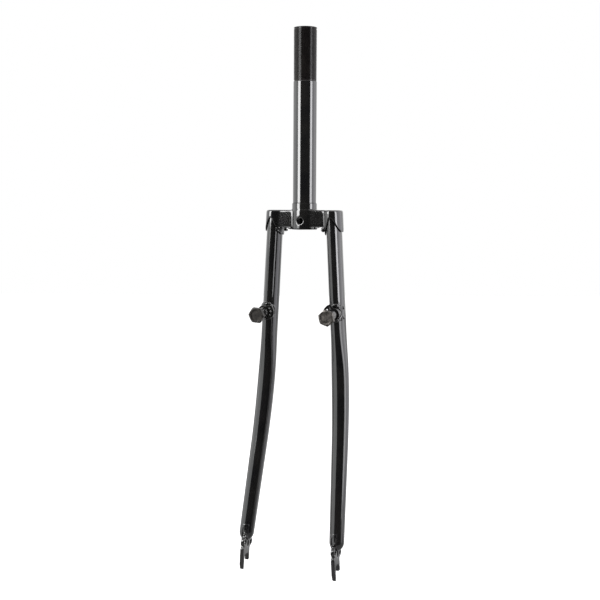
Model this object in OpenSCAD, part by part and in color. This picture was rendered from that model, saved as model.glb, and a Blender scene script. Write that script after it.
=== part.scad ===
// Bicycle fork: threaded steerer, flat lugged crown, two raked oval blades,
// forged dropouts with eyelets and two brake bosses with their bolts.
// +Z runs up the steerer, the front faces -Y, the rider's left is +X.
// The origin is on the steerer axis at the flat top of the crown.

/* [Steerer] */
// Outside radius of the one inch steerer
steerer_radius = 12.7; // [12:0.1:15]
// Inside radius that the quill stem slides in
steerer_bore = 11.1; // [10:0.1:13]
// Radius of the turned down foot that stands in the crown
foot_radius = 12.4; // [11.8:0.1:14]
// Height of the steerer top over the crown top
steerer_height = 195; // [120:1:300]
// Bevel on the top edge of the steerer
steerer_bevel = 0.6; // [0.2:0.1:0.8]
// Length of the threaded top
thread_length = 57; // [20:1:90]
// Outside radius of the thread
thread_radius = 12.5; // [12.2:0.05:12.65]
// Depth of the thread
thread_depth = 0.55; // [0.3:0.05:0.7]
// Distance from one thread to the next
thread_pitch = 1.058; // [1:0.001:1.5]

/* [Crown] */
// Radius of the seat for the crown race
seat_radius = 13.5; // [13.2:0.1:16]
// Height of the race seat over the crown top
seat_height = 7.1; // [4:0.1:12]
// Radius of the round boss in the middle of the crown
boss_radius = 14.2; // [13.8:0.1:18]
// Depth of the middle boss below the crown top
boss_depth = 21.8; // [16:0.1:30]
// Depth of the two arms below the crown top
arm_depth = 18.7; // [12:0.1:26]
// Half thickness of the arms from front to back
arm_half = 10.6; // [8:0.1:13]
// Rounding of the top corners at the two ends of the crown
corner_radius = 2.2; // [0.5:0.1:4]
// Radius of the hole for the brake bolt
brake_hole_radius = 3.2; // [2.5:0.1:4]
// Depth of the brake bolt hole below the crown top
brake_hole_depth = 11.9; // [8:0.1:16]
// Wall of the blade sockets
lug_wall = 1.9; // [1:0.1:3]
// Depth of the outer lug tips below the crown top
outer_tip = 24.2; // [18:0.1:36]
// Depth of the inner lug tips below the crown top
inner_tip = 28.2; // [18:0.1:40]
// Depth of the top of the lug arches
arch_depth = 9; // [5:0.1:14]
// Radius of the round peak of the lug arches
arch_radius = 2.1; // [1:0.1:3]
// Shift of the lug arches towards the outer side
arch_shift = 1; // [0:0.1:4]

/* [Blades] */
// Distance of the blade axis from the steerer axis at the crown top
blade_spread = 33.34; // [28:0.01:50]
// Half width of the oval blade section, side to side
oval_half_width = 8.1; // [6:0.1:14]
// Half depth of the oval blade section, front to back
oval_half_depth = 12.3; // [8:0.1:18]
// Largest radius of the round lower blade
round_radius = 9.45; // [7:0.05:14]
// Radius of the blade just above its domed end
end_radius = 8.15; // [6:0.05:11]
// Wall of the blade tube
blade_wall = 1.3; // [0.8:0.1:2]
// Depth at which the bend of the blades starts
bend_top = 145; // [100:1:200]
// Radius of the bend on the blade axis
bend_radius = 512; // [300:1:900]
// Angle of the bend
bend_angle = 12.9; // [5:0.1:25]
// Depth at which the domed end starts
end_depth = 352.5; // [250:0.5:450]
// Length of the domed end
dome_length = 10; // [4:0.5:16]
// Sides of the blade section
blade_sides = 32; // [16:4:48]

/* [Dropouts] */
// Distance between the inner faces of the dropouts at the axle
hub_width = 102; // [98:1:112]
// Distance of the plates inside the blade axes
plate_inset = 0.91; // [0:0.01:3]
// Thickness of the dropout plates
plate_thickness = 4.2; // [3:0.1:8]
// Distance of the wheel axle in front of the blade end
axle_lead = 4.53; // [0:0.01:12]
// Depth of the wheel axle below the start of the domed blade end
axle_drop = 28; // [24:0.5:40]
// Length of the plate inside the blade over the domed end
tang_reach = 5.2; // [3:0.1:12]
// Width of the open axle slot
slot_width = 9; // [8:0.1:15]
// Width of the front leg beside the slot
front_leg_width = 5; // [4:0.1:9]
// Length of the front leg below the axle centre
front_leg_length = 12.4; // [4:0.1:20]
// Width of the rear leg beside the slot
rear_leg_width = 4.2; // [4:0.1:9]
// Length of the rear leg below the axle centre
rear_leg_length = 4.4; // [2:0.1:14]
// Outer radius of the front eyelet
front_eyelet_radius = 5; // [4:0.1:7]
// Distance of the front eyelet in front of the axle
front_eyelet_lead = 4.3; // [2:0.1:8]
// Height of the front eyelet over the axle
front_eyelet_rise = 18.2; // [15:0.1:21]
// Outer radius of the rear eyelet
rear_eyelet_radius = 4.7; // [4:0.1:6]
// Distance of the rear eyelet behind the axle
rear_eyelet_back = 10; // [8:0.1:14]
// Height of the rear eyelet over the axle
rear_eyelet_rise = 15.3; // [13:0.1:18]
// Radius of the threaded eyelet holes
eyelet_hole = 2.5; // [1.5:0.1:3]
// Radius of the rounded ends of the lightening hole
window_radius = 1.6; // [1:0.1:2.2]
// Distance of the lightening hole behind the axle
window_back = 2.8; // [2:0.1:4]
// Height of the lower end of the lightening hole over the axle
window_rise = 13.6; // [10:0.1:15]
// Length of the straight sides of the lightening hole
window_length = 3.4; // [1:0.1:5]

/* [Brake bosses] */
// Distance between the two brake pivots
pivot_spacing = 80; // [60:1:110]
// Depth of the brake pivots below the crown top
pivot_depth = 111; // [70:0.5:160]
// Angle by which the pivots point down
droop = 6; // [0:0.5:10]
// Radius of the forged base on the blade
base_radius = 6.6; // [6:0.1:10]
// Distance of the base shoulder in front of the blade axis
base_reach = 15.6; // [14:0.1:24]
// Radius of the pivot post
post_radius = 5.4; // [3.9:0.1:6]
// Length of the post over the base shoulder
post_length = 19.6; // [14:0.1:34]
// Radius of the round part of the spring plate
disc_radius = 7.2; // [6.6:0.1:12]
// Outer radius of the lobe on the spring plate
lobe_radius = 11.5; // [9.5:0.1:15]
// Thickness of the spring plate
disc_thickness = 2; // [1:0.1:3]
// Distance of the spring holes from the pivot axis
spring_circle = 8; // [7.6:0.1:12]
// Angle between the spring holes
spring_step = 27; // [20:1:35]
// Radius of the three spring holes
spring_hole = 1.1; // [0.8:0.1:1.4]
// Direction of the lobe on the rider's left, from the outer side
left_lobe_turn = 145; // [0:1:360]
// Direction of the lobe on the rider's right, from the outer side
right_lobe_turn = 175; // [0:1:360]
// Width of the bolt head across its flats
head_across = 15.8; // [10:0.1:18]
// Thickness of the bolt head
head_height = 4.6; // [3:0.1:7]
// Radius of the bolt shank
shank_radius = 2.9; // [2:0.1:3.5]
// Depth of the bolt hole behind the base shoulder
hole_depth = 4; // [2:0.1:6]
// Turn of the bolt head on the rider's left
left_head_turn = 40; // [0:1:60]
// Turn of the bolt head on the rider's right
right_head_turn = 5; // [0:1:60]

/* [Hidden] */
// gap between brazed or fitted pieces
fit_gap = 0.1;
// gap of the bolt shank in the threaded post
thread_gap = 0.1;
smooth = 96;
axle_depth = end_depth + axle_drop;
// the blades lean out so far that the plates stand the hub width apart
splay = atan(((hub_width + plate_thickness) / 2 + plate_inset - blade_spread) / axle_depth);
bend_length = bend_radius * sin(bend_angle);
bend_bottom = bend_top + bend_length;
// plate centre at the axle and at the blade end
plate_centre = (hub_width + plate_thickness / cos(splay)) / 2;
end_centre = plate_centre - axle_drop * tan(splay);
blade_top = 3;
pivot_x = pivot_spacing / 2;
weld_height = 1.5;
bead_height = 0.9;
// longer than any piece of the crown
wide = 4 * oval_half_depth;
// depth inside the blade at which the base starts, and length of blade around it
base_start = oval_half_depth / 2;
base_span = 8 * base_radius;

// forward offset of the blade axis at a depth below the crown top
function rake(d) = d < bend_top ? 0
    : d < bend_bottom ? bend_radius * (1 - cos(asin((d - bend_top) / bend_radius)))
    : bend_radius * (1 - cos(bend_angle)) + (d - bend_bottom) * tan(bend_angle);
function lean(d) = d < bend_top ? 0
    : d < bend_bottom ? asin((d - bend_top) / bend_radius) : bend_angle;
function half_width(d) = lookup(d, [
    [0, oval_half_width], [bend_top - 0.09 * bend_length, oval_half_width],
    [bend_top + 0.05 * bend_length, oval_half_width + (round_radius - oval_half_width) * 0.35],
    [bend_top + 0.16 * bend_length, oval_half_width + (round_radius - oval_half_width) * 0.75],
    [bend_top + 0.3 * bend_length, round_radius], [bend_top + 0.54 * bend_length, round_radius],
    [end_depth, end_radius]]);
function half_depth(d) = lookup(d, [
    [0, oval_half_depth], [bend_top - 0.19 * bend_length, oval_half_depth],
    [bend_top - 0.035 * bend_length, round_radius + (oval_half_depth - round_radius) * 0.78],
    [bend_top + 0.12 * bend_length, round_radius + (oval_half_depth - round_radius) * 0.3],
    [bend_top + 0.31 * bend_length, round_radius], [bend_top + 0.54 * bend_length, round_radius],
    [end_depth, end_radius]]);

function unit(v) = v / norm(v);
function axis_point(d) = [blade_spread + d * tan(splay), -rake(d), -d];
function axis_way(d) = unit([tan(splay), -tan(lean(d)), -1]);
function side_way(d) = unit([1, 0, 0] - axis_way(d)[0] * axis_way(d));

// one ring of the blade, d below the crown top, w and h half sizes
function ring(d, w, h, past = 0) = [for (i = [0 : blade_sides - 1])
    let (a = 360 * (i + 0.5) / blade_sides, u = side_way(d), v = cross(axis_way(d), side_way(d)))
    axis_point(d) + past * axis_way(d) + w * cos(a) * u + h * sin(a) * v];

straight_rings = [0.2 * bend_top, bend_top - 0.19 * bend_length, bend_top - 0.135 * bend_length];
bend_rings = [for (i = [-0.6 : 9.4]) bend_top + i * 0.105 * bend_length];
lower_rings = [bend_bottom + 0.07 * bend_length, (bend_bottom + end_depth) / 2];
dome_turns = [16, 32, 47, 61, 73, 83];

module skin(rings) {
    sides = blade_sides;
    last = len(rings) - 1;
    points = [for (r = rings) for (p = r) p];
    faces = concat(
        [[for (i = [0 : sides - 1]) i]],
        [for (k = [0 : last - 1]) for (i = [0 : sides - 1])
            [k * sides + i, (k + 1) * sides + i, k * sides + (i + 1) % sides]],
        [for (k = [0 : last - 1]) for (i = [0 : sides - 1])
            [k * sides + (i + 1) % sides, (k + 1) * sides + i, (k + 1) * sides + (i + 1) % sides]],
        [[for (i = [sides - 1 : -1 : 0]) last * sides + i]]);
    polyhedron(points, faces, convexity = 8);
}

// outside of a blade on the rider's left, grown by g and started at depth top
module blade_outside(g = 0, top = blade_top) {
    depths = concat([top], straight_rings, bend_rings, lower_rings, [end_depth]);
    skin(concat(
        [for (d = depths) if (d >= top) ring(d, half_width(d) + g, half_depth(d) + g)],
        [for (t = dome_turns)
            ring(end_depth, (end_radius + g) * cos(t), (end_radius + g) * cos(t),
                (dome_length + g) * sin(t))]));
}

module blade_inside() {
    skin([for (d = concat([blade_top - 1], straight_rings, bend_rings, lower_rings, [end_depth - 1]))
        ring(d, half_width(d) - blade_wall, half_depth(d) - blade_wall)]);
}

// straight oval prism about the upper blade axis, built of true arcs
module oval(grow) {
    w = oval_half_width + grow;
    h = oval_half_depth + grow;
    tip = w * 0.8;
    side = (w * w + (h - tip) * (h - tip) - tip * tip) / (2 * (w - tip));
    meet = (h - tip) * side / (side - tip);
    intersection() {
        translate([side - w, 0]) circle(r = side, $fn = 160);
        translate([w - side, 0]) circle(r = side, $fn = 160);
        square([4 * w, 2 * meet], center = true);
    }
    for (s = [-1, 1]) translate([0, s * (h - tip)]) circle(r = tip, $fn = smooth);
}

module oval_prism(grow, top, length) {
    translate([blade_spread, 0, 0]) rotate([0, -splay, 0])
        translate([0, 0, -top - length]) linear_extrude(height = length) oval(grow);
}

module both() {
    children();
    mirror([1, 0, 0]) children();
}

module along_y(x, y, d, r, length) {
    translate([x, y, -d]) rotate([90, 0, 0]) cylinder(r = r, h = length, $fn = smooth);
}

module steerer_tube() {
    foot = boss_depth - 1;
    shoulder = steerer_radius - foot_radius;
    start = steerer_height - thread_length;
    root = thread_radius - thread_depth;
    turns = floor((thread_length - steerer_bevel - shoulder) / thread_pitch);
    color("black") difference() {
        rotate_extrude($fn = smooth) polygon(concat([[steerer_bore, -foot], [foot_radius, -foot],
            [foot_radius, seat_height], [steerer_radius, seat_height + shoulder],
            [steerer_radius, start - shoulder], [root, start + shoulder]],
            // the thread is drawn as rings
            [for (i = [1 : turns], k = [0, 1]) [k == 0 ? thread_radius : root,
                start + shoulder + (i - (1 - k) / 2) * thread_pitch]],
            [[root, steerer_height - steerer_bevel / 2], [root - steerer_bevel / 2, steerer_height],
            [steerer_bore, steerer_height]]));
        along_y(0, boss_radius + 2, brake_hole_depth, brake_hole_radius, 2 * boss_radius + 4);
    }
}

// pointed opening at the front and the back of a lug
module arch() {
    r = arch_radius;
    edge = oval_half_width + lug_wall;
    out = arch_depth - outer_tip;
    in = arch_depth - inner_tip;
    translate([blade_spread + arch_depth * tan(splay) + arch_shift, 0, -arch_depth])
        rotate([90, 0, 0]) linear_extrude(height = 2 * wide, center = true) {
            translate([0, -r]) circle(r = r, $fn = 48);
            polygon([[-0.91 * r, -0.58 * r], [0.91 * r, -0.58 * r], [0.96 * edge, out],
                [1.6 * edge, 1.08 * out], [1.6 * edge, -wide], [-1.6 * edge, -wide],
                [-1.6 * edge, 1.06 * in], [-0.98 * edge, in]]);
        }
}

// space over the rounded top corner at one end of the crown
module corner() {
    r = corner_radius;
    translate([blade_spread + (oval_half_width + lug_wall) / cos(splay) + r * tan(splay) - r, 0, -r])
        rotate([90, 0, 0]) linear_extrude(height = 2 * wide, center = true) difference() {
            square(2 * r);
            circle(r = r, $fn = smooth);
        }
}

module fork_crown() {
    color("black") difference() {
        union() {
            translate([0, 0, -boss_depth]) cylinder(r = boss_radius, h = boss_depth, $fn = smooth);
            cylinder(r = seat_radius, h = seat_height, $fn = smooth);
            translate([-blade_spread, -arm_half, -arm_depth])
                cube([2 * blade_spread, 2 * arm_half, arm_depth]);
            both() intersection() {
                difference() {
                    oval_prism(lug_wall, -wide / 8, wide);
                    arch();
                }
                translate([0, -wide, -wide]) cube([2 * wide, 2 * wide, wide]);
            }
            // solid block over each socket behind the arches
            both() intersection() {
                oval_prism(lug_wall, -wide / 8, arch_depth + wide / 8);
                translate([0, -wide, -wide]) cube([2 * wide, 2 * wide, wide]);
            }
        }
        both() oval_prism(fit_gap, blade_top - fit_gap, wide);
        both() corner();
        translate([0, 0, -boss_depth - 1])
            cylinder(r = foot_radius + fit_gap / 2, h = boss_depth + seat_height + 2, $fn = smooth);
        along_y(0, boss_radius + 2, brake_hole_depth, brake_hole_radius, 2 * boss_radius + 4);
    }
}

module blade() {
    color("black") difference() {
        blade_outside();
        blade_inside();
        slab(plate_thickness + 2 * fit_gap, tang_reach + plate_thickness / 3, 2 * dome_length);
    }
}

// piece of a dropout plate, drawn about the axle centre with the first axis forward
module plate_piece() {
    rotate([90, 0, -90]) linear_extrude(height = plate_thickness, center = true) children();
}

module plate_hole(at, r) {
    rotate([90, 0, -90]) translate([at[0], at[1], -2 * plate_thickness])
        cylinder(r = r, h = 4 * plate_thickness, $fn = 64);
}

module dropout() {
    half = slot_width / 2;
    front = half + front_leg_width;
    rear = half + rear_leg_width;
    f = [front_eyelet_lead, front_eyelet_rise];
    g = [-rear_eyelet_back, rear_eyelet_rise];
    p = front_eyelet_radius;
    q = rear_eyelet_radius;
    // point of the tang, n in front of the blade axis and s over the start of the dome
    function tang(n, s) = [n * cos(bend_angle) - s * sin(bend_angle) - axle_lead,
        n * sin(bend_angle) + s * cos(bend_angle) + axle_drop];
    color("black") translate([plate_centre, -rake(end_depth) - axle_lead, -axle_depth]) difference() {
        rotate([0, -splay, 0]) union() {
            plate_piece() polygon([[front, f[1] - 1.32 * p], [front, -0.44 * front_leg_length],
                [front - 0.44 * front_leg_width, -0.92 * front_leg_length],
                [half + 0.12 * front_leg_width, -front_leg_length], [0.78 * half, 0], [-0.78 * half, 0],
                [-half - 0.05 * rear_leg_width, -rear_leg_length],
                [-rear + 0.2 * rear_leg_width, -rear_leg_length], [-rear, -0.77 * rear_leg_length],
                [-rear, g[1] - 1.34 * q], [-rear - 0.43 * q, g[1] - 0.57 * q],
                [g[0] - 0.47 * q, g[1] + 0.66 * q], tang(-0.88 * end_radius, -0.59 * dome_length),
                tang(-0.85 * end_radius, tang_reach), tang(0.955 * end_radius, tang_reach),
                tang(0.97 * end_radius, -dome_length), [f[0] + 0.42 * p, f[1] - 0.8 * p]]);
            plate_piece() translate(f) circle(r = p, $fn = 64);
            plate_piece() translate(g) circle(r = q, $fn = 64);
        }
        plate_hole([0, 0], half);
        translate([-2 * plate_thickness, -half, -3 * front_leg_length])
            cube([4 * plate_thickness, slot_width, 3 * front_leg_length]);
        plate_hole(f, eyelet_hole);
        plate_hole(g, eyelet_hole);
        for (h = [0, window_length]) plate_hole([-window_back, window_rise + h], window_radius);
        translate([-2 * plate_thickness, window_back - window_radius, window_rise])
            cube([4 * plate_thickness, 2 * window_radius, window_length]);
    }
}

// slab along a dropout plate, t thick, from p above the start of the dome to q below it
module slab(t, p, q) {
    translate([end_centre, -rake(end_depth), -end_depth]) rotate([0, -splay, 0]) rotate([-bend_angle, 0, 0])
        translate([-t / 2, -2 * end_radius, -q]) cube([t, 4 * end_radius, p + q]);
}

// bead around the plate on the domed blade end
module dropout_weld() {
    color("black") difference() {
        intersection() {
            blade_outside(bead_height, end_depth - 2 * dome_length);
            slab(plate_thickness + 4, 0.8 * dome_length, 2 * dome_length);
        }
        blade_outside(fit_gap / 2, end_depth - 4 * dome_length);
        slab(plate_thickness + fit_gap, 0.35 * dome_length, 3 * dome_length);
    }
}

// things on a brake pivot, drawn with the axis along z from the base shoulder outwards
module on_pivot() {
    translate([pivot_x, -base_reach, -pivot_depth]) rotate([90 + droop, 0, 0]) children();
}

module post(r, from, to) {
    translate([0, 0, from]) cylinder(r = r, h = to - from, $fn = smooth);
}

module brake_boss() {
    color("black") difference() {
        on_pivot() {
            post(base_radius, base_start - base_reach, 0);
            post(post_radius, base_start - base_reach, post_length);
        }
        oval_prism(fit_gap, pivot_depth - base_span / 2, base_span);
        on_pivot() post(shank_radius + thread_gap, -hole_depth, post_length + hole_depth);
    }
}

module spring_plate(turn) {
    color("black") on_pivot() translate([0, 0, fit_gap]) linear_extrude(height = disc_thickness)
        difference() {
            union() {
                circle(r = disc_radius, $fn = smooth);
                intersection() {
                    circle(r = lobe_radius, $fn = smooth);
                    rotate(turn) scale(lobe_radius) polygon([[0, -0.5], [0.8, -0.58], [1.1, -0.36],
                        [1.1, 0.36], [0.8, 0.58], [0, 0.5]]);
                }
            }
            for (t = [-spring_step, 0, spring_step]) rotate(turn + t) translate([spring_circle, 0])
                circle(r = spring_hole, $fn = 32);
            circle(r = post_radius + fit_gap, $fn = smooth);
        }
}

module boss_bolt(turn) {
    corner = head_across / sqrt(3);
    bevel = 0.36 * head_height;
    color("dimgray") on_pivot() translate([0, 0, post_length + fit_gap]) {
        difference() {
            intersection() {
                rotate(turn) cylinder(r = corner, h = head_height, $fn = 6);
                union() {
                    cylinder(r = 1.1 * corner, h = head_height - bevel, $fn = smooth);
                    translate([0, 0, head_height - bevel])
                        cylinder(r1 = 1.1 * corner, r2 = 0.85 * corner, h = bevel, $fn = smooth);
                }
            }
            translate([0, 0, 0.8 * head_height])
                cylinder(r1 = 0.34 * head_across, r2 = 0.4 * head_across, h = 0.21 * head_height,
                    $fn = smooth);
        }
        post(shank_radius, 10 * thread_gap - hole_depth - post_length, bevel);
    }
}

// lumpy ring where the base is joined to the blade
module boss_weld() {
    color("black") difference() {
        intersection() {
            oval_prism(weld_height, pivot_depth - base_span / 2, base_span);
            on_pivot() post(1.5 * base_radius, 0.9 * base_start - base_reach, base_reach);
        }
        oval_prism(fit_gap, pivot_depth - base_span, 2 * base_span);
        on_pivot() post(base_radius + fit_gap / 2, -2 * base_reach, 2 * base_reach);
        on_pivot() post(disc_radius + 8 * fit_gap, -fit_gap, base_reach);
    }
}

module left_blade() blade();
module right_blade() mirror([1, 0, 0]) blade();
module left_dropout() dropout();
module right_dropout() mirror([1, 0, 0]) dropout();
module left_dropout_weld() dropout_weld();
module right_dropout_weld() mirror([1, 0, 0]) dropout_weld();
module left_brake_boss() brake_boss();
module right_brake_boss() mirror([1, 0, 0]) brake_boss();
module left_spring_plate() spring_plate(left_lobe_turn);
module right_spring_plate() mirror([1, 0, 0]) spring_plate(right_lobe_turn);
module left_boss_bolt() boss_bolt(left_head_turn);
module right_boss_bolt() mirror([1, 0, 0]) boss_bolt(right_head_turn);
module left_boss_weld() boss_weld();
module right_boss_weld() mirror([1, 0, 0]) boss_weld();

steerer_tube();
fork_crown();
left_blade();
right_blade();
left_dropout();
right_dropout();
left_dropout_weld();
right_dropout_weld();
left_brake_boss();
right_brake_boss();
left_spring_plate();
right_spring_plate();
left_boss_bolt();
right_boss_bolt();
left_boss_weld();
right_boss_weld();
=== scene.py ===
# Bicycle fork: threaded steerer, lugged crown, raked blades, dropouts and brake bosses
import math
import random

import bmesh
import bpy
from mathutils import Matrix, Vector


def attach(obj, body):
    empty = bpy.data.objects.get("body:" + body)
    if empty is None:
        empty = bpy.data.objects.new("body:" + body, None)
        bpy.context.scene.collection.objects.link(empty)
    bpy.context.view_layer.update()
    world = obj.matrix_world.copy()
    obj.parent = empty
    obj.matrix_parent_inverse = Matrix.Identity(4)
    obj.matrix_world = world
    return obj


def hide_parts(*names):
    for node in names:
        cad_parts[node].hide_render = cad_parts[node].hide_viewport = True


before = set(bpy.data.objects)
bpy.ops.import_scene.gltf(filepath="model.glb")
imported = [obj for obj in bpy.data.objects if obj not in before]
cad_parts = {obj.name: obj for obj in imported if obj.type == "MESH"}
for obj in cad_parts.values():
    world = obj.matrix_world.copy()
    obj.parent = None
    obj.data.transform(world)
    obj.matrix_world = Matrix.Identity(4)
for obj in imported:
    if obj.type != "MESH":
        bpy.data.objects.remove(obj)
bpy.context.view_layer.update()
mm = 0.001
print("loaded", len(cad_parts), "fork parts")


def linked(name, data):
    thing = bpy.data.objects.new(name, data)
    bpy.context.scene.collection.objects.link(thing)
    return thing


def meshFrom(name, bm):
    mesh = bpy.data.meshes.new(name)
    bm.to_mesh(mesh)
    bm.free()
    return mesh


def matrixOf(*columns):
    # three directions and a place
    matrix = Matrix.Identity(4)
    for i, column in enumerate(columns):
        for k in range(3):
            matrix[k][i] = column[k]
    return matrix


# camera: where the photographer stood and how much they saw
cameraLook = {"azimuth": 21.255, "pan": 0.196, "pitch": 4.639, "roll": 0.307, "distance": 1261.5,
              "height": 4.07, "sensor": 36, "lens": 69.45, "clipStart": 0.05}


def around(angle, distance, height):
    # point round the fork, angle 0 is towards the camera and positive to the picture's right
    turn = math.radians(cameraLook["azimuth"] + angle)
    return Vector((distance * math.sin(turn), -distance * math.cos(turn), height)) * mm


def placeCamera():
    c = cameraLook
    turn, tilt, roll = (math.radians(v) for v in (c["azimuth"] + c["pan"], c["pitch"], c["roll"]))
    right = Vector((math.cos(turn), math.sin(turn), 0))
    forward = Vector((-math.sin(turn) * math.cos(tilt), math.cos(turn) * math.cos(tilt), -math.sin(tilt)))
    up = right.cross(forward)
    side = right * math.cos(roll) + up * math.sin(roll)
    top = up * math.cos(roll) - right * math.sin(roll)
    data = bpy.data.cameras.new("forkCamera")
    data.sensor_width = c["sensor"]
    data.lens = c["lens"]
    data.clip_start = c["clipStart"]
    camera = linked("forkCamera", data)
    camera.matrix_world = matrixOf(side, top, -forward, around(0, c["distance"], c["height"]))
    bpy.context.scene.camera = camera


placeCamera()
print("camera placed")

# materials: a noise texture keeps mostly between these two values
noiseSpan = (0.3, 0.7)


def startMaterial(name):
    material = bpy.data.materials.new(name)
    material.use_nodes = True
    tree = material.node_tree
    shader = next(n for n in tree.nodes if n.type == "BSDF_PRINCIPLED")
    place = tree.nodes.new("ShaderNodeTexCoord")
    return material, tree, shader, place.outputs["Object"]


def noise(tree, place, scale, detail=2.0, stretch=None):
    if stretch:
        mapping = tree.nodes.new("ShaderNodeMapping")
        mapping.inputs["Scale"].default_value = stretch
        tree.links.new(place, mapping.inputs["Vector"])
        place = mapping.outputs["Vector"]
    node = tree.nodes.new("ShaderNodeTexNoise")
    node.inputs["Scale"].default_value = scale
    node.inputs["Detail"].default_value = detail
    tree.links.new(place, node.inputs["Vector"])
    return node.outputs["Fac"]


def ramp(tree, value, colours, span=noiseSpan):
    node = tree.nodes.new("ShaderNodeValToRGB")
    for element, position, colour in zip(node.color_ramp.elements, span, colours):
        element.position = position
        element.color = (*colour, 1)
    tree.links.new(value, node.inputs["Fac"])
    return node.outputs["Color"]


def spread(tree, value, span, results):
    node = tree.nodes.new("ShaderNodeMapRange")
    for key, number in zip(("From Min", "From Max", "To Min", "To Max"), (*span, *results)):
        node.inputs[key].default_value = number
    tree.links.new(value, node.inputs["Value"])
    return node.outputs["Result"]


def bump(tree, value, depth, before=None):
    node = tree.nodes.new("ShaderNodeBump")
    node.inputs["Distance"].default_value = depth * mm
    node.inputs["Strength"].default_value = 1
    tree.links.new(value, node.inputs["Height"])
    if before:
        tree.links.new(before, node.inputs["Normal"])
    return node.outputs["Normal"]


# sprayed enamel: near black, glassy on top, with slow sags and fine orange peel under the gloss
def enamel(name, look):
    material, tree, shader, place = startMaterial(name)
    cloud = noise(tree, place, look["cloudScale"])
    tree.links.new(ramp(tree, cloud, look["colours"], look["cloudSpan"]), shader.inputs["Base Color"])
    haze = noise(tree, place, look["hazeScale"], detail=3)
    tree.links.new(spread(tree, haze, noiseSpan, look["roughness"]), shader.inputs["Roughness"])
    sag = bump(tree, noise(tree, place, look["sagScale"], stretch=look["sagStretch"]), look["sagDepth"])
    peel = bump(tree, noise(tree, place, look["peelScale"], detail=1), look["peelDepth"], sag)
    tree.links.new(peel, shader.inputs["Normal"])
    tree.links.new(peel, shader.inputs["Coat Normal"])
    shader.inputs["Specular IOR Level"].default_value = look["specular"]
    shader.inputs["Coat Weight"].default_value = look["coat"]
    shader.inputs["Coat Roughness"].default_value = look["coatRoughness"]
    shader.inputs["Coat IOR"].default_value = look["coatIor"]
    return material


enamelLook = {"colours": ((0.008, 0.008, 0.0085), (0.013, 0.0125, 0.012)), "cloudScale": 40,
              "cloudSpan": (0.35, 0.65), "hazeScale": 160, "roughness": (0.12, 0.2), "specular": 0.12,
              "sagScale": 60, "sagDepth": 0.05, "sagStretch": (1, 1, 0.35), "peelScale": 700,
              "peelDepth": 0.002, "coat": 1, "coatRoughness": 0.03, "coatIor": 1.6}
glossEnamel = enamel("glossEnamel", enamelLook)
bladeEnamel = enamel("bladeEnamel", dict(enamelLook, sagDepth=0.1, sagScale=130, sagStretch=(1, 1, 0.5)))
weldEnamel = enamel("weldEnamel", dict(enamelLook, sagScale=300, sagDepth=0.16, sagStretch=None,
                                       coatRoughness=0.05))
threadEnamel = enamel("threadEnamel", dict(enamelLook, roughness=(0.1, 0.24), specular=0.22, coat=0.0,
                                           peelScale=1500, peelDepth=0.004,
                                           colours=((0.009, 0.008, 0.008), (0.016, 0.014, 0.013))))


# bolt steel: brownish dark metal, clouded, pitted and unevenly rubbed
def boltSteel(name, look):
    material, tree, shader, place = startMaterial(name)
    cloud = noise(tree, place, look["cloudScale"], detail=4)
    tree.links.new(ramp(tree, cloud, look["colours"]), shader.inputs["Base Color"])
    rub = noise(tree, place, look["rubScale"], detail=3)
    tree.links.new(spread(tree, rub, noiseSpan, look["roughness"]), shader.inputs["Roughness"])
    pits = bump(tree, noise(tree, place, look["pitScale"], detail=3), look["pitDepth"])
    tree.links.new(pits, shader.inputs["Normal"])
    shader.inputs["Metallic"].default_value = look["metallic"]
    return material


boltLook = {"colours": ((0.022, 0.021, 0.02), (0.06, 0.055, 0.05)), "cloudScale": 320, "rubScale": 500,
            "roughness": (0.3, 0.46), "pitScale": 1400, "pitDepth": 0.02, "metallic": 0.75}
oxideSteel = boltSteel("oxideSteel", boltLook)
rubbedSteel = boltSteel("rubbedSteel", dict(boltLook, colours=((0.02, 0.018, 0.016), (0.2, 0.185, 0.17)),
                                            cloudScale=260, roughness=(0.24, 0.45), pitScale=520,
                                            pitDepth=0.07))
print("materials made")


# every finished piece: mesh in place, smooth up to the angle sharp, riding on the fork's only body
def finishPiece(name, bm, materials, slotName, *nodes, sharp=180):
    mesh = meshFrom(name, bm)
    for material in materials:
        mesh.materials.append(material)
    mesh.shade_smooth()
    mesh.set_sharp_from_angle(angle=math.radians(sharp))
    piece = linked(name, mesh)
    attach(piece, "root")
    if nodes:
        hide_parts(*nodes)
    return piece


# mesh with the result of one modifier
def worked(bm, name, kind, **settings):
    rough = linked(name, meshFrom(name, bm))
    modifier = rough.modifiers.new(name, kind)
    for key, value in settings.items():
        setattr(modifier, key, value)
    graph = bpy.context.evaluated_depsgraph_get()
    done = bpy.data.meshes.new_from_object(rough.evaluated_get(graph))
    bpy.data.objects.remove(rough)
    bm = bmesh.new()
    bm.from_mesh(done)
    for face in bm.faces:
        face.material_index = 0
    return bm


# corners nearer than weld or seam are one, faces within flatAngle are one, easing moves by easeShare
meshLook = {"weld": 0.002, "seam": 0.0001, "flatAngle": 0.4, "easeShare": 0.5}


def weldedCopy(node):
    bm = bmesh.new()
    bm.from_mesh(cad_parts[node].data)
    bmesh.ops.remove_doubles(bm, verts=bm.verts, dist=meshLook["weld"] * mm)
    bmesh.ops.dissolve_limit(bm, angle_limit=math.radians(meshLook["flatAngle"]), verts=bm.verts,
                             edges=bm.edges)
    return bm


def remeshed(bm, name, grain):
    return worked(bm, name + "Grain", "REMESH", mode="VOXEL", voxel_size=grain * mm)


def ease(bm, verts, times):
    for i in range(times):
        bmesh.ops.smooth_vert(bm, verts=verts, factor=meshLook["easeShare"], use_axis_x=True,
                              use_axis_y=True, use_axis_z=True)


def closedLoop(bm, outline):
    # outline of a half section, as radius and height
    points = [bm.verts.new(Vector((r, 0, z)) * mm) for r, z in outline]
    return points, [bm.edges.new(pair) for pair in zip(points, points[1:] + points[:1])]


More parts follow.
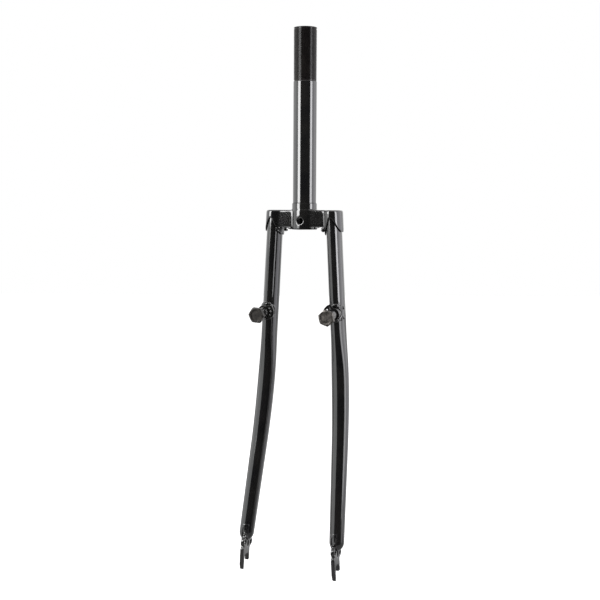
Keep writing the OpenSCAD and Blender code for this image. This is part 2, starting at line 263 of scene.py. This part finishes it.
def turned(outline, sides):
    bm = bmesh.new()
    points, edges = closedLoop(bm, outline)
    bmesh.ops.spin(bm, geom=points + edges, cent=(0, 0, 0), axis=(0, 0, 1), angle=2 * math.pi,
                   steps=sides, use_merge=True)
    bmesh.ops.remove_doubles(bm, verts=bm.verts, dist=meshLook["seam"] * mm)
    bmesh.ops.recalc_face_normals(bm, faces=bm.faces)
    return bm


# steerer: plain tube below, turned down over the top part, with a plain lip at its end
# the rings close to each end of a straight run keep its shading straight
steererLook = {"outline": [(11.1, -20.8), (12.4, -20.8), (12.4, 7.1), (12.62, 7.32), (12.7, 7.55),
                           (12.7, 7.8), (12.7, 136.9), (12.7, 137.2), (12.6, 137.6), (11.95, 138.4),
                           (11.95, 138.6), (11.95, 193.6), (11.95, 193.8), (12.5, 194.1), (12.5, 194.75),
                           (12.25, 195), (11.3, 195), (11.1, 194.7)],
               "sides": 128, "paintTop": 138, "sharp": 28,
               "holeDepth": 11.9, "holeRadius": 3.2, "holeSides": 48, "drillLength": 40}


def makeSteerer():
    s = steererLook
    bm = turned(s["outline"], s["sides"])
    # hole of the brake bolt
    drill = bmesh.new()
    across = Matrix.Translation((0, 0, -s["holeDepth"] * mm)) @ Matrix.Rotation(math.pi / 2, 4, "X")
    bmesh.ops.create_cone(drill, cap_ends=True, segments=s["holeSides"], radius1=s["holeRadius"] * mm,
                          radius2=s["holeRadius"] * mm, depth=s["drillLength"] * mm, matrix=across)
    cutter = linked("drill", meshFrom("drill", drill))
    bm = worked(bm, "shellCut", "BOOLEAN", operation="DIFFERENCE", solver="EXACT", object=cutter)
    bpy.data.objects.remove(cutter)
    for face in bm.faces:
        face.material_index = 1 if face.calc_center_median().z > s["paintTop"] * mm else 0
    finishPiece("steererShell", bm, [glossEnamel, threadEnamel], "steerer_paint", "steerer_tube",
                sharp=s["sharp"])


# thread: one ridge wound up the turned down part, its section as radius and share of the pitch
threadLook = {"section": [(11.7, 0), (11.7, 0.92), (12.5, 0.54), (12.5, 0.38)], "start": 138.5,
              "pitch": 1.058, "turns": 51, "stepsPerTurn": 48, "sharp": 50}


def makeThread():
    t = threadLook
    bm = bmesh.new()
    points, edges = closedLoop(bm, [(r, t["start"] + share * t["pitch"]) for r, share in t["section"]])
    bm.faces.new(points)
    swept = bmesh.ops.spin(bm, geom=points + edges, cent=(0, 0, 0), axis=(0, 0, 1),
                           angle=2 * math.pi * t["turns"], steps=t["turns"] * t["stepsPerTurn"],
                           dvec=(0, 0, t["pitch"] * mm / t["stepsPerTurn"]))
    last = [v for v in swept["geom_last"] if isinstance(v, bmesh.types.BMVert)]
    bmesh.ops.contextual_create(bm, geom=last)
    bmesh.ops.recalc_face_normals(bm, faces=bm.faces)
    finishPiece("steererThread", bm, [threadEnamel], "steerer_paint", "steerer_tube", sharp=t["sharp"])


makeSteerer()
makeThread()
print("steerer and thread made")

# blades: oval at the crown, round below the bend, with a domed end
# a change is a place, in bend lengths below the bend's top, and the share of the way from oval to round
# a run of rings is its first depth, its end and its step
bladeLook = {"spread": 33.34, "splay": 3.1095, "bendTop": 145, "bendRadius": 512, "bendAngle": 12.9,
             "endDepth": 352.5, "domeLength": 10, "halfWidth": 8.1, "halfDepth": 12.3, "roundRadius": 9.45,
             "endRadius": 8.15, "sides": 64, "top": 3.2, "sharp": 60,
             "widthChanges": ((-0.09, 0), (0.05, 0.35), (0.16, 0.75), (0.3, 1), (0.54, 1)),
             "depthChanges": ((-0.19, 0), (-0.035, 0.22), (0.12, 0.7), (0.31, 1), (0.54, 1)),
             "ringRuns": ((12, 108, 8), (108, 260, 4), (262, 352, 9)),
             "domeTurns": (10, 20, 30, 40, 50, 59, 67, 74, 80, 85), "averaged": 8, "averageStep": 2}


def bendLength():
    return bladeLook["bendRadius"] * math.sin(math.radians(bladeLook["bendAngle"]))


def rake(depth):
    # how far forward the blade's centre line is, and how it leans there
    b = bladeLook
    radius, angle = b["bendRadius"], math.radians(b["bendAngle"])
    past = depth - b["bendTop"]
    if past <= 0:
        return 0, 0
    if past < bendLength():
        lean = math.asin(past / radius)
        return radius * (1 - math.cos(lean)), lean
    return radius * (1 - math.cos(angle)) + (past - bendLength()) * math.tan(angle), angle


def between(depth, table):
    # straight steps through a short table of depth and size
    for (d0, v0), (d1, v1) in zip(table, table[1:]):
        if depth <= d1:
            return v0 + (v1 - v0) * max(0, depth - d0) / (d1 - d0)
    return table[-1][1]


def bladeSize(depth):
    b = bladeLook
    sizes = []
    for oval, changes in ((b["halfWidth"], b["widthChanges"]), (b["halfDepth"], b["depthChanges"])):
        table = [(b["bendTop"] + place * bendLength(), oval + (b["roundRadius"] - oval) * share)
                 for place, share in changes]
        sizes.append(between(depth, [(0, oval), *table, (b["endDepth"], b["endRadius"])]))
    return sizes


def evenSize(depth):
    # sizes averaged over a short length, so that the section changes without a crease
    b = bladeLook
    near = range(-b["averaged"], b["averaged"] + 1, b["averageStep"])
    return [sum(sizes) / len(near) for sizes in zip(*(bladeSize(depth + k) for k in near))]


def bladeRing(bm, depth, width, tall, past=0):
    b = bladeLook
    forward, lean = rake(depth)
    splay = math.tan(math.radians(b["splay"]))
    way = Vector((splay, -math.tan(lean), -1)).normalized()
    side = (Vector((1, 0, 0)) - way * way.x).normalized()
    front = way.cross(side)
    centre = Vector((b["spread"] + depth * splay, -forward, -depth)) + way * past
    matrix = matrixOf(*(column * mm for column in (side * width, front * tall, way, centre)))
    made = bmesh.ops.create_circle(bm, cap_ends=False, segments=b["sides"], radius=1, matrix=matrix)
    return list(dict.fromkeys(e for v in made["verts"] for e in v.link_edges))


def makeBlade(name, node, mirrored):
    b = bladeLook
    bm = bmesh.new()
    steps = [b["top"]] + [depth for run in b["ringRuns"] for depth in range(*run)]
    rings = [bladeRing(bm, depth, *evenSize(depth)) for depth in steps]
    rings.append(bladeRing(bm, b["endDepth"], *bladeSize(b["endDepth"])))
    for turn in b["domeTurns"]:
        a = math.radians(turn)
        radius = b["endRadius"] * math.cos(a)
        rings.append(bladeRing(bm, b["endDepth"], radius, radius, b["domeLength"] * math.sin(a)))
    for one, two in zip(rings, rings[1:]):
        bmesh.ops.bridge_loops(bm, edges=one + two)
    bmesh.ops.holes_fill(bm, edges=rings[0] + rings[-1], sides=0)
    if mirrored:
        bmesh.ops.scale(bm, vec=(-1, 1, 1), verts=bm.verts)
    bmesh.ops.recalc_face_normals(bm, faces=bm.faces)
    finishPiece(name, bm, [bladeEnamel], "gloss_paint", node, sharp=b["sharp"])


makeBlade("leftBladeSkin", "left_blade", False)
makeBlade("rightBladeSkin", "right_blade", True)
print("blades made")

# cast crown: the solid's mesh taken to an even grain and eased, most of all along its top edge
crownLook = {"grain": 0.42, "ease": 15, "flatTop": 0.01, "rimFrom": 14.1, "rimStep": 0.2, "rimSlope": 0.7,
             "rimBevel": 1.9, "rimSegments": 4, "lipAngle": 14, "lipRings": 2, "lipEase": 16,
             "topDepth": 3.4, "topFrom": 15, "topEase": 24}


def makeCrown():
    c = crownLook
    bm = weldedCopy("fork_crown")
    out = {v: math.hypot(v.co.x, v.co.y) / mm for v in bm.verts if abs(v.co.z) < c["flatTop"] * mm}
    rim = [e for e in bm.edges if all(v in out and out[v] > c["rimFrom"] for v in e.verts)
           and max(out[v] for v in e.verts) > c["rimFrom"] + c["rimStep"] and len(e.link_faces) == 2
           and min(f.normal.z for f in e.link_faces) < c["rimSlope"]]
    bmesh.ops.bevel(bm, geom=rim, offset=c["rimBevel"] * mm, offset_type="OFFSET", affect="EDGES",
                    segments=c["rimSegments"], profile=0.5, clamp_overlap=False, material=-1)
    bm = remeshed(bm, "crown", c["grain"])
    ease(bm, bm.verts, c["ease"])
    # the lips of the lugs keep steps from the even grain, so they get more
    lips = {v for e in bm.edges if e.calc_face_angle(0) > math.radians(c["lipAngle"]) for v in e.verts}
    for ring in range(c["lipRings"]):
        lips |= {e.other_vert(v) for v in lips for e in v.link_edges}
    ease(bm, sorted(lips, key=lambda v: v.index), c["lipEase"])
    ease(bm, [v for v in bm.verts if v.co.z > -c["topDepth"] * mm
              and math.hypot(v.co.x, v.co.y) > c["topFrom"] * mm], c["topEase"])
    finishPiece("crownCasting", bm, [glossEnamel], "gloss_paint", "fork_crown")


makeCrown()

# turned seat for the lower bearing race
seatLook = {"outline": [(12.5, -1.2), (13.53, -1.2), (13.53, 6.52), (13.53, 6.77), (13.41, 7.02),
                        (13.13, 7.12), (12.5, 7.12)],
            "sides": 128, "sharp": 40}
finishPiece("crownSeat", turned(seatLook["outline"], seatLook["sides"]), [glossEnamel], "gloss_paint",
            sharp=seatLook["sharp"])
print("crown cast")

# forged and brazed parts, from their solids at an even grain and eased
forgingLook = {"grain": 0.3, "ease": 22}
filletLook = {"grain": 0.25, "ease": 34}
# turned parts and bolts, from their solids with rounded edges
edgeLook = {"boss": 0.4, "plate": 0.3, "bolt": 0.4, "segments": 3, "angle": 32, "sharp": 35}


def easedCopy(name, node, material, look):
    bm = remeshed(weldedCopy(node), name, look["grain"])
    ease(bm, bm.verts, look["ease"])
    finishPiece(name, bm, [material], "gloss_paint", node)


def softened(name, node, material, slotName, edge):
    bm = weldedCopy(node)
    for face in bm.faces:
        face.material_index = 0
    piece = finishPiece(name, bm, [material], slotName, node, sharp=edgeLook["sharp"])
    bevel = piece.modifiers.new("edges", "BEVEL")
    bevel.width = edge * mm
    bevel.segments = edgeLook["segments"]
    bevel.limit_method = "ANGLE"
    bevel.angle_limit = math.radians(edgeLook["angle"])
    normals = piece.modifiers.new("normals", "WEIGHTED_NORMAL")
    normals.keep_sharp = True


for side, steel in (("left", rubbedSteel), ("right", oxideSteel)):
    easedCopy(side + "DropoutForging", side + "_dropout", glossEnamel, forgingLook)
    softened(side + "BossTurning", side + "_brake_boss", glossEnamel, "gloss_paint", edgeLook["boss"])
    softened(side + "SpringStop", side + "_spring_plate", glossEnamel, "gloss_paint", edgeLook["plate"])
    softened(side + "BossBolt", side + "_boss_bolt", steel, "bolt_steel", edgeLook["bolt"])
    easedCopy(side + "BossFillet", side + "_boss_weld", weldEnamel, filletLook)
    easedCopy(side + "EndFillet", side + "_dropout_weld", weldEnamel, filletLook)
print("forgings softened")

# drops of brass left by the torch, painted over
dropLook = {"seed": 7, "height": 0.85, "fineness": 3, "grain": 0.26, "ease": 7}


def drop(bm, centre, size, flat):
    matrix = Matrix.Translation(Vector(centre) * mm)
    matrix = matrix @ Matrix.Diagonal((size * mm, size * flat * mm, size * dropLook["height"] * mm, 1))
    bmesh.ops.create_icosphere(bm, subdivisions=dropLook["fineness"], radius=1, matrix=matrix)


def meltDrops(name, bm):
    # drops that touch run into one lump
    bm = remeshed(bm, name, dropLook["grain"])
    ease(bm, bm.verts, dropLook["ease"])
    finishPiece(name, bm, [weldEnamel], "gloss_paint")


# round the brake bosses, heaviest over and under the base, where the oval blade gives the brass room
bossDropLook = {"many": 26, "ring": 8.2, "ringWander": (-0.8, 1.4), "fan": 62, "bossX": 40,
                "bossDepth": 110.4, "widest": 0.93, "proud": 0.4, "sizes": (1.3, 2.3), "flat": 0.8}


def makeBossDrops(name, sign, seed):
    d = bossDropLook
    rand = random.Random(dropLook["seed"] + seed)
    bm = bmesh.new()
    for i in range(d["many"]):
        a = math.radians((90 if i % 2 == 0 else -90) + rand.uniform(-d["fan"], d["fan"]))
        reach = d["ring"] + rand.uniform(*d["ringWander"])
        x = d["bossX"] + reach * math.cos(a)
        z = -d["bossDepth"] + reach * math.sin(a)
        axis = bladeLook["spread"] - z * math.tan(math.radians(bladeLook["splay"]))
        off = min(d["widest"], abs(x - axis) / bladeLook["halfWidth"])
        y = -bladeLook["halfDepth"] * math.sqrt(1 - off * off)
        drop(bm, (sign * x, y - d["proud"], z), rand.uniform(*d["sizes"]), d["flat"])
    meltDrops(name, bm)


# under the crown's arms, thickest in the corners beside the lugs and the middle boss
# a run is its distance from the middle, its height, how many drops it has and how far they wander
crownDropLook = {"runs": ((26.2, -19.6, 9, 2.4), (25, -22.6, 5, 1.2), (13.4, -19.2, 5, 1.6)),
                 "front": -8.4, "rear": 8.4, "acrossWander": (-1.6, 1.2), "heightWander": (-0.7, 0.9),
                 "rearRise": 0.8, "sizes": (1.1, 2.0), "flat": 0.9}


def makeCrownDrops(name, seed):
    d = crownDropLook
    rand = random.Random(dropLook["seed"] + seed)
    bm = bmesh.new()
    for sign in (-1, 1):
        for x, z, many, wander in d["runs"]:
            for y, rise in ((d["front"], 0), (d["rear"], d["rearRise"])):
                for i in range(many):
                    centre = (sign * (x - rand.uniform(-wander, wander)),
                              y + rand.uniform(*d["acrossWander"]),
                              z + rand.uniform(*d["heightWander"]) + rise)
                    drop(bm, centre, rand.uniform(*d["sizes"]), d["flat"])
    meltDrops(name, bm)


# a crooked row down the front of the domed blade end, where the dropout's plate goes in
endDropLook = {"many": 12, "plateX": 51.58, "top": 349, "length": 11, "fallRadius": 10.5,
               "leastSquare": 0.05, "sink": 0.98, "wander": 2.1, "drift": 0.05, "driftFrom": 352,
               "sizes": (1.0, 1.8), "flat": 0.8}


def makeEndDrops(name, sign, seed):
    d, b = endDropLook, bladeLook
    rand = random.Random(dropLook["seed"] + seed)
    bm = bmesh.new()
    lean = math.radians(b["bendAngle"])
    for i in range(d["many"]):
        depth = d["top"] + d["length"] * i / (d["many"] - 1)
        past = depth - b["endDepth"]
        fall = max(0.0, past) / d["fallRadius"]
        radius = b["endRadius"] * math.sqrt(max(d["leastSquare"], 1 - fall ** 2))
        y = -rake(b["endDepth"])[0] - past * math.tan(lean) - radius * math.cos(lean) * d["sink"]
        z = -depth - radius * math.sin(lean)
        x = d["plateX"] + rand.uniform(-d["wander"], d["wander"]) + d["drift"] * (depth - d["driftFrom"])
        drop(bm, (sign * x, y, z), rand.uniform(*d["sizes"]), d["flat"])
    meltDrops(name, bm)


makeCrownDrops("crownDrops", 5)
makeBossDrops("leftBossDrops", 1, 1)
makeBossDrops("rightBossDrops", -1, 2)
makeEndDrops("leftEndDrops", 1, 3)
makeEndDrops("rightEndDrops", -1, 4)
print("brazing drops made")

# studio: white floor and background, dark room behind the camera, soft boxes at the sides
# a box is its angle round the fork, width in degrees, distance, lowest and highest edge, brightness, colour
softBoxes = {"keyLeft": (-58, 25, 1100, -18, 900, 11, (1, 1, 1)),
             "keyLeftLow": (-58, 23, 1100, -60, -18, 2.5, (1, 1, 1)),
             "keyRight": (63, 21, 1100, -110, 900, 8, (0.97, 0.97, 1)),
             "keyRightLow": (63, 21, 1100, -280, -110, 3, (0.97, 0.97, 1)),
             "sideLeft": (-84, 74, 1300, -560, 1300, 0.62, (0.96, 1, 1)),
             "sideRight": (96, 50, 1300, -560, 1300, 1.0, (0.93, 0.92, 1))}


def placeSoftBox(name, angle, wide, distance, low, high, brightness, colour):
    data = bpy.data.lights.new(name, "AREA")
    data.shape = "RECTANGLE"
    data.size = 2 * distance * math.tan(math.radians(wide / 2)) * mm
    data.size_y = (high - low) * mm
    data.energy = brightness * math.pi * data.size * data.size_y
    data.color = colour
    box = linked(name, data)
    middle = around(angle, distance, (low + high) / 2)
    inward = Vector((-middle.x, -middle.y, 0)).normalized()
    box.matrix_world = Matrix.Translation(middle) @ inward.to_track_quat("-Z", "Y").to_matrix().to_4x4()
    box.visible_camera = False


for boxName, settings in softBoxes.items():
    placeSoftBox(boxName, *settings)


def calculated(tree, operation, one, two):
    node = tree.nodes.new("ShaderNodeMath")
    node.operation = operation
    tree.links.new(one, node.inputs[0])
    tree.links.new(two, node.inputs[1])
    return node.outputs[0]


def rayKind(tree, *names):
    # 1 for a ray of any of these kinds, otherwise 0
    path = tree.nodes.new("ShaderNodeLightPath")
    value = path.outputs[names[0]]
    for name in names[1:]:
        value = calculated(tree, "MAXIMUM", value, path.outputs[name])
    return value


# background: white to the camera and in mirrors, dimmer as light on the fork
roomLook = {"fill": 0.55, "seen": 1}


def makeBackground():
    world = bpy.data.worlds.new("whiteRoom")
    bpy.context.scene.world = world
    world.use_nodes = True
    tree = world.node_tree
    background = next(n for n in tree.nodes if n.type == "BACKGROUND")
    background.inputs["Color"].default_value = (1, 1, 1, 1)
    seen = rayKind(tree, "Is Camera Ray", "Is Glossy Ray", "Is Transmission Ray")
    tree.links.new(spread(tree, seen, (0, 1), (roomLook["fill"], roomLook["seen"])),
                   background.inputs["Strength"])


# floor: pale board, white to the camera, that keeps the fork's soft shadow
# on the camera's side the painted parts mirror it darker than the camera sees it
floorLook = {"level": -393.6, "front": 130, "halfSize": (4, 2), "grainScale": 30, "roughness": 0.9,
             "colours": ((0.8, 0.8, 0.8), (0.83, 0.83, 0.83)), "mirrored": (0.3, 0.3, 0.3, 1),
             "darkerFrom": (-0.02, 0.04), "glow": 0.7}


def makeFloor():
    f = floorLook
    long, deep = f["halfSize"]
    bm = bmesh.new()
    bmesh.ops.create_grid(bm, x_segments=1, y_segments=1, size=1)
    bmesh.ops.scale(bm, vec=(long, deep, 1), verts=bm.verts)
    bmesh.ops.translate(bm, vec=(0, deep - f["front"] * mm, f["level"] * mm), verts=bm.verts)
    turn = Matrix.Rotation(math.radians(cameraLook["azimuth"]), 3, "Z")
    bmesh.ops.rotate(bm, cent=(0, 0, 0), matrix=turn, verts=bm.verts)
    material, tree, shader, place = startMaterial("paleFloor")
    shader.inputs["Roughness"].default_value = f["roughness"]
    shader.inputs["Emission Color"].default_value = (1, 1, 1, 1)
    ahead = tree.nodes.new("ShaderNodeVectorMath")
    ahead.operation = "DOT_PRODUCT"
    ahead.inputs[1].default_value = around(180, 1, 0) / mm
    tree.links.new(place, ahead.inputs[0])
    nearSide = spread(tree, ahead.outputs["Value"], f["darkerFrom"], (1, 0))
    darker = calculated(tree, "MULTIPLY", nearSide, rayKind(tree, "Is Glossy Ray"))
    # colour sockets of the mix node: 6 and 7 go in, 2 comes out
    mirrored = tree.nodes.new("ShaderNodeMix")
    mirrored.data_type = "RGBA"
    tree.links.new(darker, mirrored.inputs[0])
    grain = noise(tree, place, f["grainScale"])
    tree.links.new(ramp(tree, grain, f["colours"]), mirrored.inputs[6])
    mirrored.inputs[7].default_value = f["mirrored"]
    tree.links.new(mirrored.outputs[2], shader.inputs["Base Color"])
    glow = spread(tree, rayKind(tree, "Is Camera Ray"), (0, 1), (0, f["glow"]))
    tree.links.new(glow, shader.inputs["Emission Strength"])
    board = linked("paleFloor", meshFrom("paleFloor", bm))
    board.data.materials.append(material)


# black card behind the camera, out of its sight, that keeps the middle of each tube dark
cardLook = {"radius": 2300, "from": -47, "to": 60, "low": -2400, "high": 2200, "steps": 24,
            "colours": ((0.004, 0.004, 0.004), (0.006, 0.006, 0.006)), "grainScale": 5}


def makeCard():
    c = cardLook
    bm = bmesh.new()
    points = [bm.verts.new(around(c["from"], c["radius"], z)) for z in (c["low"], c["high"])]
    edge = bm.edges.new(points)
    bmesh.ops.spin(bm, geom=points + [edge], cent=(0, 0, 0), axis=(0, 0, 1),
                   angle=math.radians(c["to"] - c["from"]), steps=c["steps"])
    material, tree, shader, place = startMaterial("blackCard")
    grain = noise(tree, place, c["grainScale"])
    tree.links.new(ramp(tree, grain, c["colours"]), shader.inputs["Base Color"])
    shader.inputs["Roughness"].default_value = 1
    shader.inputs["Specular IOR Level"].default_value = 0
    card = linked("blackCard", meshFrom("blackCard", bm))
    card.data.materials.append(material)
    card.visible_camera = False


makeBackground()
makeFloor()
makeCard()
bpy.context.scene.view_settings.view_transform = "Standard"
print("studio lit")
